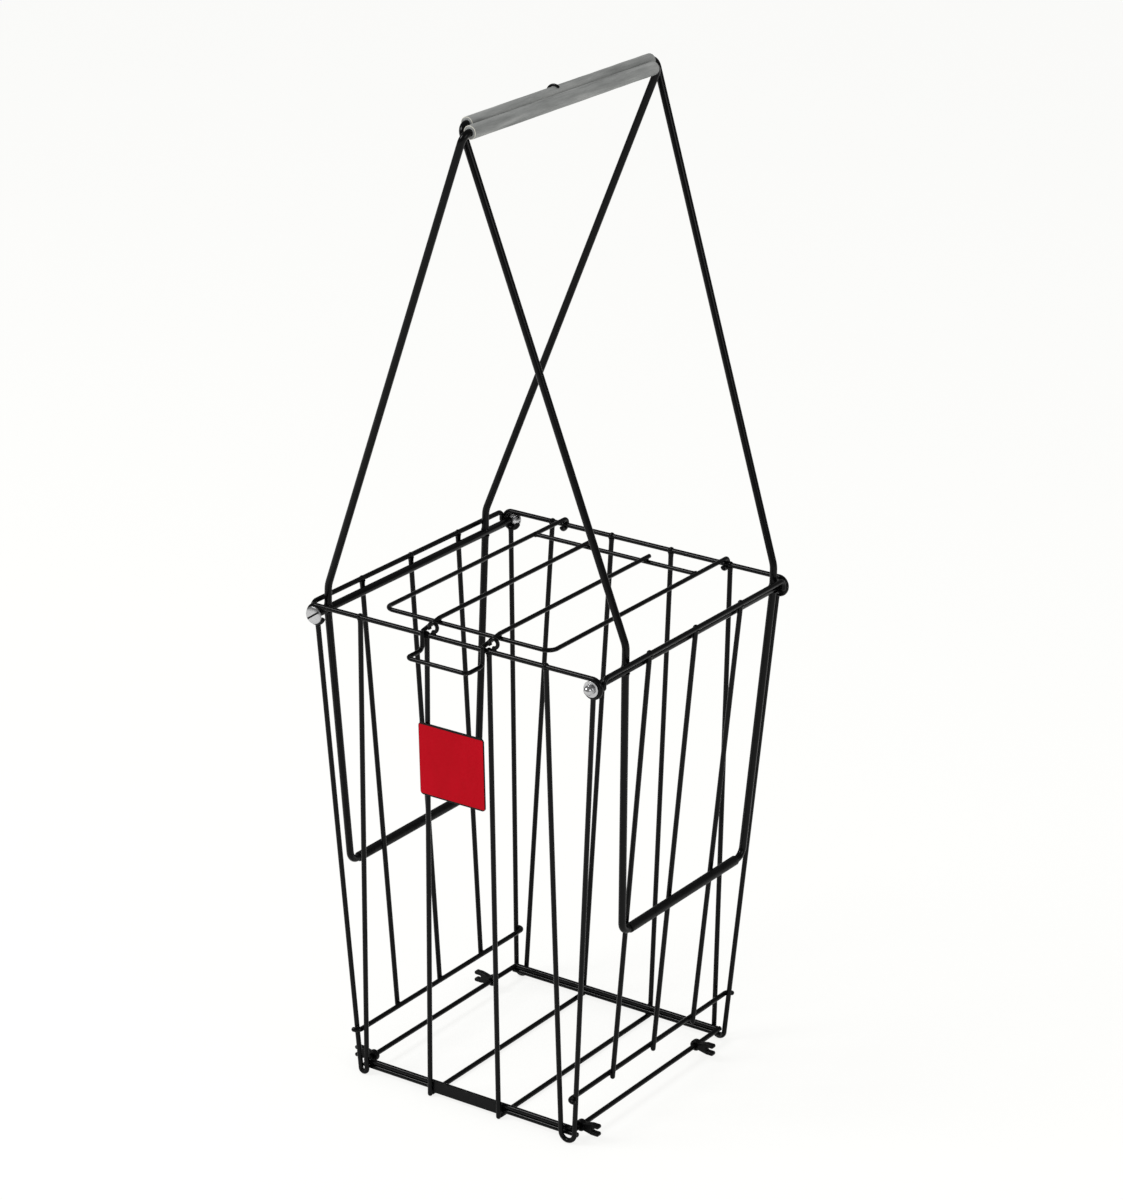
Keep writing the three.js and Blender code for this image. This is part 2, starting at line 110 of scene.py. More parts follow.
# Handles
HANDLE_REACH = 417.5
RIGHT_LEAN = math.radians(17.9)
LEFT_LEAN = math.radians(18.9)
NEAR_PIVOT = 87.0
FAR_PIVOT = 121.0
NEAR_GRIP = 118.5
FAR_GRIP = 136.5
HANDLE_BEND = 6.5
LEFT_SHIFT = 6.0
HANDLE_RISE = 19.0
KNEE_BEND = 20.0
LOOP_REACH = 220.0
LOOP_NEAR = 75.0
LOOP_FAR = 97.0
LOOP_BEND = 9.0
LEG_SINK = 0.6
TUBE_EDGE = 0.35
GRIP_END_GAP = 1.0
SOFT_EDGE = 0.5
SOFT_BORE = HANDLE_R + 0.05
SOFT_ROWS = 36
GRIP_WAVER = 0.16
GRIP_WAVER_SPAN = 14.0
CUT_INSET = 1.6
CUT_DEPTH = SOFT_EDGE * 0.6
CLIP_START = math.radians(40)
CLIP_TURN = math.radians(180)
CLIP_LIFT = 0.05

# Lid, whose corners are bent tighter than in the frame, as in the photograph
LID_LEFT = 75.0
LID_RIGHT = 77.0
LID_FRONT = 112.0
LID_CROSS_BACK = 88.0
LID_CORNER_BEND = 8.0
PULL_LEFT = 24.0
PULL_RIGHT = 31.0
PULL_DROP = 15.0
PULL_REACH = 19.8
PULL_BEND = 4.0
PULL_CORNER_BEND = 4.5
PULL_TAIL = 4.0
CROSS_INSET = LID_R * 0.6
CURL_TURN = math.radians(250)
CATCH_RADIUS = 3.6
CATCH_TURN = math.radians(310)

# Plate, strip, hooks and screws
PLATE_WIDTH = 60.0
PLATE_HEIGHT = 60.5
PLATE_THICKNESS = 1.6
PLATE_CENTRE_X = -1.4
PLATE_CENTRE_HEIGHT = 296.5
PLATE_CORNER = 3.0
PLATE_BACK_SOFTNESS = 0.25
PLATE_FACE_INSET = (0.9, 2.7)
PLATE_FACE_CORNER = 1.0
PLATE_FACE_DEPTH = 0.5
PLATE_FACE_SOFTNESS = 0.2
STRIP_HEIGHT = 10.0
STRIP_THICKNESS = 1.2
STRIP_CORNER = 0.8
STRIP_SOFTNESS = 0.3
HOOK_THICKNESS = 5.0
HOOK_SOFTNESS = 0.9
HOOK_CORNER = 1.4
HOOK_ROOT_CORNER = 1.6
HOOK_SLACK = 0.05
HOOK_EYE = 4.6
HOOK_REACH = 17.0
HOOK_SPREAD = 9.6
HOOK_SLOT = 3.2
HOOK_SLOT_DEPTH = 6.5
HOOK_FRONT_PLACE = 95.0
HOOK_BACK_PLACE = 70.0
BROAD_HEAD = 7.0
BROAD_HEIGHT = 2.6
BROAD_EDGE = 0.35
BROAD_CROWN_FOOT = BROAD_HEIGHT * 0.45
CAP = 4.3
CAP_HEIGHT = 6.0
CAP_FOOT = CAP_HEIGHT * 0.36
CAP_WAIST = CAP * 0.86
CAP_LOW_EDGE = (0.2, 0.25)
CAP_HIGH_EDGE = (0.25, 0.3)
CAP_SHOULDER = 0.05
CAP_DOME_EDGE = (0.02, 0.2)
CAP_FLAT_SHARE = 0.07
DOME_STEPS = 8
WASHER = 6.3
WASHER_THICKNESS = 1.0
WASHER_EDGE = 0.2
SHANK = 1.5
SHANK_REACH = 12.0
SLOT_WIDTH = 1.4
SLOT_DEPTH = 0.9
SLOT_ANGLE = math.radians(35)

# Ends of wires: a cut with a softened edge, a round nub, or a weld that widens towards its foot
CUT_EDGE_SHARE = 0.22
NUB_ANGLES = [math.radians(a) for a in (20, 40, 60, 80)]
FLARE_PLACES = [0.0, 0.5, 1.0, 1.7, 2.6, 4.0]
FLARE_EXTRA = 0.75
FLARE_FADE = 1.1
WELD_SINK = 0.8
JOIN_DEPTH = WIRE_R * 0.8

# Weld beads: length and width, each as a share of the wire's diameter
RIM_BEAD = (1.5, 1.28)
SIDE_RIM_BEAD = (1.4, 1.25)
SIDE_FOOT_BEAD = (1.5, 0.95)
POST_BEAD = (1.2, 0.7)
BAR_BEAD = (1.1, 0.8)
ROD_BEAD = (1.0, 1.1)
GROUND_BEAD = (1.0, 0.8)
LID_BEAD = (1.2, 0.8)
CATCH_BEAD = (1.8, 0.84)
POST_BEAD_PLACE = WIRE_R * 0.72

# Surroundings, in metres
FLOOR_HALF = 9.0
FLOOR_DROP = 0.0002
FLOOR_COLOUR = (0.86, 0.86, 0.85)
FLOOR_GLOW_SHARE = 0.76
FLOOR_GLOW = 1.08
WORLD_LEVEL = 0.62
WORLD_GLOSS = 0.2
SEEN_RAYS = ["Is Camera Ray", "Is Transmission Ray"]

# Camera, fitted to the basket's corners in the photograph, which is 1200 pixels high
CAMERA_PLACE = np.array([1655.73 + SHIFT[0], -2453.38 + SHIFT[1], 1523.87 + FOOT_HEIGHT])
CAMERA_AZIMUTH = math.radians(-33.8453)
CAMERA_DOWN = math.radians(21.0850)
CAMERA_ROLL = math.radians(0.8039)
CAMERA_FOCAL_PX = 4133.03
PHOTO_HEIGHT_PX = 1200
SENSOR = 36.0
CAMERA_CLIP = (0.05, 60)

UP = np.array([0.0, 0.0, 1.0])
ALONG = np.array([0.0, 1.0, 0.0])
ACROSS = np.array([1.0, 0.0, 0.0])


def at(x, y, z):
    return np.array([x, y, z], float)


def lerp(a, b, share):
    return a + (b - a) * share


def half_width(z):
    return lerp(FOOT_HALF_WIDTH, PIVOT_HALF_WIDTH, (z - FOOT_HEIGHT) / (PIVOT_HEIGHT - FOOT_HEIGHT))


def half_depth(z):
    return lerp(FOOT_HALF_DEPTH, PIVOT_HALF_DEPTH, (z - FOOT_HEIGHT) / (PIVOT_HEIGHT - FOOT_HEIGHT))


RIM_HEIGHT = PIVOT_HEIGHT + RIM_RISE
RIM_DEPTH = half_depth(RIM_HEIGHT) + RIM_FORWARD
LOW_BAR_HEIGHT = GROUND_HEIGHT + WIRE + GAP
HIGH_BAR_HEIGHT = LOW_BAR_HEIGHT + WIRE + GAP
BAR_DEPTH = half_depth(GROUND_HEIGHT) - WIRE - GAP
SIDE_ROD_X = FOOT_HALF_WIDTH - SIDE_ROD_INSET
LID_HEIGHT = RIM_HEIGHT + WIRE_R + GAP + LID_R
PULL_HEIGHT = LID_HEIGHT + LID_WIRE + GAP
SIDE_TOP_X = PIVOT_HALF_WIDTH + TUBE / 2 + GAP + WIRE_R
SIDE_WIRE_X = half_width(SIDE_WIRE_HEIGHT) - WIRE - GAP
SIDE_FOOT_X = SIDE_WIRE_X + WIRE - WELD_SINK


def side_wall_x(z):
    """Half width of the side panels' uprights at a height."""
    share = (z - SIDE_WIRE_HEIGHT) / (PIVOT_HEIGHT - SIDE_WIRE_HEIGHT)
    return lerp(SIDE_FOOT_X, SIDE_TOP_X, share)


def unit(v):
    return v / np.linalg.norm(v)


def square_to(axis):
    """A direction at right angles to an axis."""
    return unit(np.cross(axis, UP if abs(axis[2]) < STEEP else ACROSS))


# Lines

def arc(centre, first, second, radius, start, end):
    """Points on an arc between two angles, turning from the first direction to the second."""
    steps = max(2, math.ceil(abs(end - start) / ARC_STEP))
    angles = np.linspace(start, end, steps + 1)
    return [centre + radius * (math.cos(a) * first + math.sin(a) * second) for a in angles]


def bent(points, radii):
    """Straight runs between the points, with every inner corner bent round."""
    line = [points[0]]
    for i in range(1, len(points) - 1):
        corner = points[i]
        back = unit(points[i - 1] - corner)
        ahead = unit(points[i + 1] - corner)
        radius = radii[i - 1] if isinstance(radii, list) else radii
        half = math.acos(np.clip(back @ ahead, -1, 1)) / 2
        centre = corner + unit(back + ahead) * radius / math.sin(half)
        first = unit(corner + back * radius / math.tan(half) - centre)
        last = unit(corner + ahead * radius / math.tan(half) - centre)
        sweep_angle = math.acos(np.clip(first @ last, -1, 1))
        second = unit(last - first * math.cos(sweep_angle))
        line += arc(centre, first, second, radius, 0, sweep_angle)
    line.append(points[-1])
    return line


# Meshes, in millimetres in the basket's own frame

class Shape:
    """The vertices and faces of one piece, with a material number for each face."""

    def __init__(self):
        self.verts = []
        self.faces = []
        self.marks = []

    def add(self, verts, faces):
        base = len(self.verts)
        self.verts += [np.array(v, float) for v in verts]
        self.faces += [[base + i for i in face] for face in faces]
        self.marks += [0] * len(faces)
        return self

    def turned(self, matrix):
        self.verts = [np.array(matrix @ Vector(v)) for v in self.verts]
        return self


def directions(line):
    """The way a line runs at each of its points, also where two points lie in one place."""
    steps = np.diff(line, axis=0)
    lengths = np.linalg.norm(steps, axis=1)
    for i in range(1, len(steps)):
        if lengths[i] < TINY:
            steps[i], lengths[i] = steps[i - 1], lengths[i - 1]
    for i in range(len(steps) - 2, -1, -1):
        if lengths[i] < TINY:
            steps[i], lengths[i] = steps[i + 1], lengths[i + 1]
    steps = steps / lengths[:, None]
    both = np.vstack([steps[:1], steps[:-1] + steps[1:], steps[-1:]])
    return both / np.linalg.norm(both, axis=1)[:, None]


def skin(line, radii, sides=SIDES):
    """A closed round skin along a line. Its first and last points are the tips of its two ends."""
    line = np.array(line, float)
    tangents = directions(line)
    normal = square_to(tangents[0])
    angles = np.linspace(0, 2 * math.pi, sides, endpoint=False)
    verts = [line[0]]
    for point, tangent, radius in zip(line[1:-1], tangents[1:-1], radii[1:-1]):
        normal = unit(normal - tangent * (normal @ tangent))
        other = np.cross(tangent, normal)
        verts += [point + radius * (math.cos(a) * normal + math.sin(a) * other) for a in angles]
    verts.append(line[-1])
    rings = len(line) - 2

    def ring(i, j):
        return 1 + i * sides + j % sides

    faces = [[0, ring(0, j + 1), ring(0, j)] for j in range(sides)]
    for i in range(rings - 1):
        faces += [[ring(i, j), ring(i, j + 1), ring(i + 1, j + 1), ring(i + 1, j)] for j in range(sides)]
    faces += [[len(verts) - 1, ring(rings - 1, j), ring(rings - 1, j + 1)] for j in range(sides)]
    return verts, faces


def ended(line, radius, kind):
    """The points and radii of a wire's start, up to the point where it has its full radius."""
    inward = unit(line[1] - line[0])
    if kind == "nub":
        points = [line[0] - inward * radius * math.cos(a) for a in NUB_ANGLES]
        radii = [radius * math.sin(a) for a in NUB_ANGLES]
        return [line[0] - inward * radius, *points, line[0]], [0, *radii, radius]
    if kind == "weld":
        points = [line[0] + inward * place for place in FLARE_PLACES]
        radii = [radius + FLARE_EXTRA * math.exp(-place / FLARE_FADE) for place in FLARE_PLACES]
        return [line[0], *points], [0, *radii]
    edge = radius * CUT_EDGE_SHARE
    return [line[0], line[0], line[0] + inward * edge], [0, radius - edge, radius]


def wire(line, diameter, start="cut", end="cut", sides=SIDES):
    """The closed skin of a wire, with an end of the named kind at its start and its end."""
    line = [np.array(p, float) for p in line]
    radius = diameter / 2
    first_points, first_radii = ended(line, radius, start)
    last_points, last_radii = ended(line[::-1], radius, end)
    middle = line[1:-1]
    points = first_points + middle + last_points[::-1]
    radii = first_radii + [radius] * len(middle) + last_radii[::-1]
    return skin(points, radii, sides)


def bead(centre, axis, size, stock=WIRE):
    """A rounded weld bead along an axis, sized by shares of the wire's diameter."""
    length, width = size
    angles = np.radians(np.arange(0, 181, 15))
    line = [centre - unit(axis) * stock * length / 2 * math.cos(a) for a in angles]
    return skin(line, [stock / 2 * width * math.sin(a) for a in angles], SMALL_SIDES)


def lathe(profile, centre, axis, sides=TURNED_SIDES, reach=lambda angle, radius: radius):
    """A turned solid from a closed profile of (radius, height) corners. One on the axis is one vertex."""
    axis = unit(np.array(axis, float))
    first = square_to(axis)
    second = np.cross(axis, first)
    verts, rows = [], []
    for radius, height in profile:
        base = centre + axis * height
        if radius < TINY:
            rows.append([len(verts)] * sides)
            verts.append(base)
            continue
        rows.append(list(range(len(verts), len(verts) + sides)))
        for j in range(sides):
            a = 2 * math.pi * j / sides
            r = reach(a, radius)
            verts.append(base + r * (math.cos(a) * first + math.sin(a) * second))
    faces = []
    ends_on_axis = profile[0][0] < TINY and profile[-1][0] < TINY
    count = len(rows) - 1 if ends_on_axis else len(rows)
    for i in range(count):
        low, high = rows[i], rows[(i + 1) % len(rows)]
        for j in range(sides):
            k = (j + 1) % sides
            face = [low[j], low[k], high[k], high[j]]
            kept = [v for n, v in enumerate(face) if v != face[n - 1]]
            if len(set(kept)) > 2:
                faces.append(kept)
    return verts, faces


def rounded_tube(outer, inner, length, edge):
    """The closed profile of a tube with softened edges, centred on its length."""
    half = length / 2
    turn = [math.radians(a) for a in (0, 30, 60, 90)]
    low = [(outer - edge + edge * math.sin(a), -half + edge - edge * math.cos(a)) for a in turn]
    high = [(outer - edge + edge * math.cos(a), half - edge + edge * math.sin(a)) for a in turn]
    return [(inner, -half), *low, *high, (inner, half)]


# Materials

def fresh(name):
    """A new material, its node tree and its shader."""
    made = bpy.data.materials.new(name)
    made.use_nodes = True
    tree = made.node_tree
    return made, tree, tree.nodes["Principled BSDF"]


def placed(tree, stretch=(1, 1, 1)):
    """Object coordinates, stretched where a pattern runs long one way."""
    coords = tree.nodes.new("ShaderNodeTexCoord")
    mapping = tree.nodes.new("ShaderNodeMapping")
    mapping.inputs["Scale"].default_value = stretch
    tree.links.new(coords.outputs["Object"], mapping.inputs["Vector"])
    return mapping.outputs["Vector"]


def mottle(tree, vector, scale, detail=3.0, roughness=0.55):
    """Soft noise from 0 to 1, finer as its scale grows."""
    found = tree.nodes.new("ShaderNodeTexNoise")
    found.inputs["Scale"].default_value = scale
    found.inputs["Detail"].default_value = detail
    found.inputs["Roughness"].default_value = roughness
    tree.links.new(vector, found.inputs["Vector"])
    return found.outputs["Fac"]


def shades(tree, factor, stops):
    """A colour from a factor, by stops of (place, colour)."""
    ramp = tree.nodes.new("ShaderNodeValToRGB")
    elements = ramp.color_ramp.elements
    while len(elements) < len(stops):
        elements.new(0.5)
    for element, (place, colour) in zip(elements, stops):
        element.position = place
        element.color = (*colour, 1)
    tree.links.new(factor, ramp.inputs["Fac"])
    return ramp.outputs["Color"]


def ranged(tree, factor, low, high):
    """A factor of 0 to 1, brought to another range."""
    remap = tree.nodes.new("ShaderNodeMapRange")
    remap.inputs["To Min"].default_value = low
    remap.inputs["To Max"].default_value = high
    tree.links.new(factor, remap.inputs["Value"])
    return remap.outputs["Result"]


def bumped(tree, shader, height, distance, strength=1.0):
    """Gives a shader a relief, whose depth is in metres."""
    bump = tree.nodes.new("ShaderNodeBump")
    bump.inputs["Distance"].default_value = distance
    bump.inputs["Strength"].default_value = strength
    tree.links.new(height, bump.inputs["Height"])
    tree.links.new(bump.outputs["Normal"], shader.inputs["Normal"])


def coated(name, base, rough, shine):
    """Black coating on steel: a slight orange peel, and soft scuffs in the gloss."""
    made, tree, shader = fresh(name)
    vector = placed(tree)
    tone = mottle(tree, vector, 160)
    scuffs = mottle(tree, vector, 420, 4)
    stops = [(0.3, [c * 0.7 for c in base]), (0.7, [c * 1.5 for c in base])]
    tree.links.new(shades(tree, tone, stops), shader.inputs["Base Color"])
    tree.links.new(ranged(tree, scuffs, *rough), shader.inputs["Roughness"])
    shader.inputs["Specular IOR Level"].default_value = shine
    bumped(tree, shader, mottle(tree, vector, 1300, 2), 0.00004)
    return made


def bright_metal(name, base, rough):
    """Plated steel with fine marks from turning."""
    made, tree, shader = fresh(name)
    vector = placed(tree, (1, 4, 1))
    tone = mottle(tree, vector, 700, 4)
    stops = [(0.3, [c * 0.82 for c in base]), (0.7, base)]
    tree.links.new(shades(tree, tone, stops), shader.inputs["Base Color"])
    tree.links.new(ranged(tree, tone, *rough), shader.inputs["Roughness"])
    shader.inputs["Metallic"].default_value = 1.0
    bumped(tree, shader, mottle(tree, vector, 2600, 2), 0.00002)
    return made


def foam(name):
    """Grey foam, mottled in long soft streaks, with fine pores."""
    made, tree, shader = fresh(name)
    streaks = mottle(tree, placed(tree, (1, 0.12, 1)), 150, 4, 0.6)
    stops = [(0.30, (0.19, 0.196, 0.192)), (0.52, (0.29, 0.298, 0.292)), (0.72, (0.40, 0.405, 0.395))]
    tree.links.new(shades(tree, streaks, stops), shader.inputs["Base Color"])
    tree.links.new(ranged(tree, streaks, 0.62, 0.46), shader.inputs["Roughness"])
    pores = tree.nodes.new("ShaderNodeTexVoronoi")
    pores.inputs["Scale"].default_value = 1500
    tree.links.new(placed(tree), pores.inputs["Vector"])
    bumped(tree, shader, pores.outputs["Distance"], 0.00012, 0.5)
    return made


def foam_cut(name):
    """The pale cells of a cut foam end."""
    made, tree, shader = fresh(name)
    cells = mottle(tree, placed(tree), 1400, 3)
    stops = [(0.3, (0.46, 0.44, 0.37)), (0.7, (0.78, 0.76, 0.68))]
    tree.links.new(shades(tree, cells, stops), shader.inputs["Base Color"])
    shader.inputs["Roughness"].default_value = 0.85
    bumped(tree, shader, cells, 0.0002)
    return made


def red_sheet(name):
    """Satin red with faint upright rub marks."""
    made, tree, shader = fresh(name)
    rubs = mottle(tree, placed(tree, (1, 1, 0.35)), 60, 5, 0.6)
    scuffs = mottle(tree, placed(tree), 240, 4)
    stops = [(0.25, (0.44, 0.0004, 0.007)), (0.6, (0.50, 0.0006, 0.0095)), (0.85, (0.55, 0.002, 0.013))]
    tree.links.new(shades(tree, rubs, stops), shader.inputs["Base Color"])
    tree.links.new(ranged(tree, scuffs, 0.42, 0.56), shader.inputs["Roughness"])
    shader.inputs["Specular IOR Level"].default_value = 0.06
    bumped(tree, shader, mottle(tree, placed(tree), 380, 2), 0.00003)
    return made


black_wire = coated("black_coating", (0.0016, 0.0016, 0.0018), rough=(0.14, 0.26), shine=0.16)
black_tube = coated("black_sleeve", (0.003, 0.003, 0.0031), rough=(0.34, 0.48), shine=0.16)
black_sheet = coated("black_sheet", (0.0022, 0.0022, 0.0025), rough=(0.28, 0.42), shine=0.16)
steel = bright_metal("plated_steel", (0.66, 0.66, 0.67), rough=(0.16, 0.34))
dark_steel = coated("black_cap", (0.004, 0.004, 0.0045), rough=(0.08, 0.18), shine=0.6)
grey_foam = foam("grey_foam")
cream_foam = foam_cut("cut_foam")
red = red_sheet("red_sheet")


def finished(name, mesh, body, replaces):
    """Shades a mesh, makes its object and says what it rides on and stands for."""
    mesh.shade_smooth()
    mesh.set_sharp_from_angle(angle=SHARP_ANGLE)
    made = bpy.data.objects.new(name, mesh)
    bpy.context.scene.collection.objects.link(made)
    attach(made, body)
    if replaces:
        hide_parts(*replaces)
    return made


def piece(name, shape, materials, body, replaces=()):
    """One Blender object from a shape."""
    mesh = bpy.data.meshes.new(name)
    verts = [tuple((v + SHIFT) * MM) for v in shape.verts]
    mesh.from_pydata(verts, [], shape.faces)
    for face, mark in zip(mesh.polygons, shape.marks):
        face.material_index = mark
    for material in materials:
        mesh.materials.append(material)
    mesh.validate()
    return finished(name, mesh, body, replaces)


def wire_piece(name, shape, body, node):
    """A piece of black wire that stands for one node of the frame."""
    return piece(name, shape, [black_wire], body, [node])


# Basket

def end_panel(facing, top_shares, foot_shares):
    """Front or back panel: the rim wire with its two loops, four uprights and two corner posts."""
    shape = Shape()
    y = facing * RIM_DEPTH
    sideways = ACROSS * LOOP_SQUEEZE
    left = arc(at(-PIVOT_HALF_WIDTH, y, PIVOT_HEIGHT), UP, sideways, RIM_RISE, -LOOP_TURN, 0)
    right = arc(at(PIVOT_HALF_WIDTH, y, PIVOT_HEIGHT), UP, sideways, RIM_RISE, 0, LOOP_TURN)
    shape.add(*wire(left + right, WIRE))

    def place(x, z):
        return at(x, facing * half_depth(z), z)

    for i, (share, foot_share) in enumerate(zip(top_shares, foot_shares)):
        top = place(share * PIVOT_HALF_WIDTH, RIM_HEIGHT)
        foot_x = foot_share * FOOT_HALF_WIDTH
        shape.add(*bead(top + at(0, facing * RIM_FORWARD / 2, 0), UP, RIM_BEAD))
        if 0 < i < len(top_shares) - 1:
            shape.add(*wire([top - UP * JOIN_DEPTH, place(foot_x, WIRE_R)], WIRE, "weld", "nub"))
            continue
        side = math.copysign(1, foot_x)
        post_foot = side * half_width(WIRE_R)
        post_top = place(side * half_width(PIVOT_HEIGHT - RIM_RISE), PIVOT_HEIGHT - RIM_RISE)
        turn = abs(post_foot - foot_x) / 2
        centre = place((post_foot + foot_x) / 2, WIRE_R + turn)
        if side > 0:
            under = arc(centre, ACROSS, UP, turn, math.pi, 2 * math.pi)
        else:
            under = arc(centre, ACROSS, UP, turn, 0, -math.pi)
        shape.add(*wire([top - UP * JOIN_DEPTH, *under, post_top], WIRE, "weld", "weld"))
    return shape


def side_panel(side):
    """Side panel: the top wire, three uprights, and the lower wire that hooks round both corner posts."""
    shape = Shape()
    end_y = RIM_DEPTH - WIRE - GAP
    top_x = side * (side_wall_x(RIM_HEIGHT) + RIM_FORWARD)
    line = [
        at(top_x, -end_y, PIVOT_HEIGHT),
        at(top_x, -end_y, RIM_HEIGHT),
        at(top_x, end_y, RIM_HEIGHT),
        at(top_x, end_y, PIVOT_HEIGHT),
    ]
    shape.add(*wire(bent(line, RIM_END_BEND), WIRE, "nub", "nub"))
    foot_z = SIDE_WIRE_HEIGHT - SIDE_NUB
    for top_share, foot_share in zip(SIDE_TOP_SHARES, SIDE_FOOT_SHARES):
        top = at(side * side_wall_x(RIM_HEIGHT), top_share * PIVOT_HALF_DEPTH, RIM_HEIGHT)
        foot = at(side * side_wall_x(foot_z), foot_share * FOOT_HALF_DEPTH, foot_z)
        shape.add(*bead(top, UP, SIDE_RIM_BEAD))
        shape.add(*wire([top - UP * JOIN_DEPTH, foot], WIRE, "weld", "nub"))
        crossing = lerp(foot, top, SIDE_NUB / (RIM_HEIGHT - foot_z))
        shape.add(*bead(crossing - ACROSS * side * JOIN_DEPTH, ALONG, SIDE_FOOT_BEAD))
    post = at(side * half_width(SIDE_WIRE_HEIGHT), half_depth(SIDE_WIRE_HEIGHT), SIDE_WIRE_HEIGHT)
    inward = at(-side, 0, 0)
    radius = WIRE + GAP
    front = arc(at(post[0], -post[1], post[2]), inward, -ALONG, radius, 0, HOOK_TURN)
    back = arc(post, inward, ALONG, radius, 0, HOOK_TURN)
    shape.add(*wire(front[::-1] + back, WIRE, "nub", "nub"))
    for facing in (-1, 1):
        held = at(post[0], facing * post[1], post[2])
        shape.add(*bead(held + (inward + ALONG * facing) * POST_BEAD_PLACE, UP, POST_BEAD))
    return shape


def rod(start, end, diameter=WIRE, ends="cut"):
    """A new shape with one straight wire in it."""
    return Shape().add(*wire([start, end], diameter, ends, ends))


def build_end(name, facing, top_shares, foot_shares):
    """The front or the back: its panel and the two bars at its foot."""
    y = facing * BAR_DEPTH
    low_half = half_width(LOW_BAR_HEIGHT)
    high_half = SIDE_ROD_X - WIRE_R - GAP
    low = rod(at(-low_half, y, LOW_BAR_HEIGHT), at(low_half, y, LOW_BAR_HEIGHT))
    high = rod(at(-high_half, y, HIGH_BAR_HEIGHT), at(high_half, y, HIGH_BAR_HEIGHT))
    for x in np.array(foot_shares[1:3]) * FOOT_HALF_WIDTH:
        contact = at(x, y + facing * (WIRE_R + GAP / 2), LOW_BAR_HEIGHT)
        low.add(*bead(contact, UP, BAR_BEAD))
        high.add(*bead(contact + UP * (WIRE + GAP), UP, BAR_BEAD))
    for side in (-1, 1):
        high.add(*bead(at(side * (high_half + GAP), y, HIGH_BAR_HEIGHT), ALONG, ROD_BEAD))
    panel = end_panel(facing, top_shares, foot_shares)
    wire_piece(name + "_panel_wire", panel, "basket", name + "_panel")
    wire_piece(name + "_low_wire", low, "basket", name + "_low_bar")
    wire_piece(name + "_high_wire", high, "basket", name + "_high_bar")


def build_side(name, side, ground_x):
    """The left or the right: its panel, the rod underneath and the ground wire."""
    rod_x = side * SIDE_ROD_X
    reach = BAR_DEPTH + WIRE_R
    side_rod = rod(at(rod_x, -reach, HIGH_BAR_HEIGHT), at(rod_x, reach, HIGH_BAR_HEIGHT))
    reach = half_depth(GROUND_HEIGHT) - WIRE_R - GAP
    ground_z = GROUND_HEIGHT + GAP / 2
    ground = rod(at(ground_x, -reach, ground_z), at(ground_x, reach, ground_z))
    for facing in (-1, 1):
        ground.add(*bead(at(ground_x, facing * BAR_DEPTH, ground_z + WIRE_R), ALONG, GROUND_BEAD))
    wire_piece("side_wires_" + name, side_panel(side), "basket", "side_panel_" + name)
    wire_piece("side_rod_wire_" + name, side_rod, "basket", "side_rod_" + name)
    wire_piece("ground_rod_" + name, ground, "basket", "ground_wire_" + name)


def build_basket():
    build_end("front", -1, FRONT_TOP_SHARES, FRONT_FOOT_SHARES)
    build_end("back", 1, BACK_TOP_SHARES, BACK_FOOT_SHARES)
    build_side("left", -1, FRONT_FOOT_SHARES[1] * FOOT_HALF_WIDTH)
    build_side("right", 1, FRONT_FOOT_SHARES[2] * FOOT_HALF_WIDTH)


# Flat pieces of the basket, cut from an outline in a plane

def sheet_piece(name, outlines, thickness, edge, matrix, material, replaces=()):
    """A flat piece with softened edges. The first outline is its rim and the rest are holes."""
    curve = bpy.data.curves.new(name, "CURVE")
    curve.dimensions = "2D"
    curve.fill_mode = "BOTH"
    curve.extrude = (thickness / 2 - edge) * MM
    curve.bevel_depth = edge * MM
    curve.bevel_resolution = 2
    curve.offset = -edge * MM
    for outline in outlines:
        spline = curve.splines.new("POLY")
        spline.points.add(len(outline) - 1)
        for point, (x, y) in zip(spline.points, outline):
            point.co = (x * MM, y * MM, 0, 1)
        spline.use_cyclic_u = True
    held = bpy.data.objects.new(name + "_outline", curve)
    bpy.context.scene.collection.objects.link(held)
    bpy.context.view_layer.update()
    mesh = bpy.data.meshes.new_from_object(held.evaluated_get(bpy.context.evaluated_depsgraph_get()))
    bpy.data.objects.remove(held)
    bpy.data.curves.remove(curve)
    mesh.name = name
    mesh.transform(Matrix.Translation(Vector(SHIFT * MM)) @ scaled(matrix))
    mesh.materials.clear()
    mesh.materials.append(material)
    return finished(name, mesh, "basket", replaces)


def scaled(matrix):
    """The same placing, with its move in metres instead of millimetres."""
    made = matrix.copy()
    made.translation = matrix.translation * MM
    return made


def rounded_box(width, height, corner, steps=8):
    """The outline of a box with round corners."""
    outline = []
    for turn, (sx, sy) in enumerate(((1, 1), (-1, 1), (-1, -1), (1, -1))):
        for k in range(steps + 1):
            a = math.pi / 2 * (turn + k / steps)
            outline.append((sx * (width / 2 - corner) + corner * math.cos(a),
                            sy * (height / 2 - corner) + corner * math.sin(a)))
    return outline


def round_outline(radius, start=0.0, end=2 * math.pi, steps=32):
    """Points on an arc about the origin. The end of a full circle is left out."""
    full = end - start >= 2 * math.pi
    angles = np.linspace(start, end, steps, endpoint=not full)
    return [(radius * math.cos(a), radius * math.sin(a)) for a in angles]


def smoothed(outline, corners):
    """An outline whose corners are rounded, each by its own radius."""
    found = []
    count = len(outline)
    for i, radius in enumerate(corners):
        before, corner, after = (at(*outline[(i + k) % count], 0) for k in (-1, 0, 1))
        if radius == 0:
            found.append((corner[0], corner[1]))
            continue
        turned = bent([before, corner, after], radius)[1:-1]
        found += [(p[0], p[1]) for p in turned]
    return found


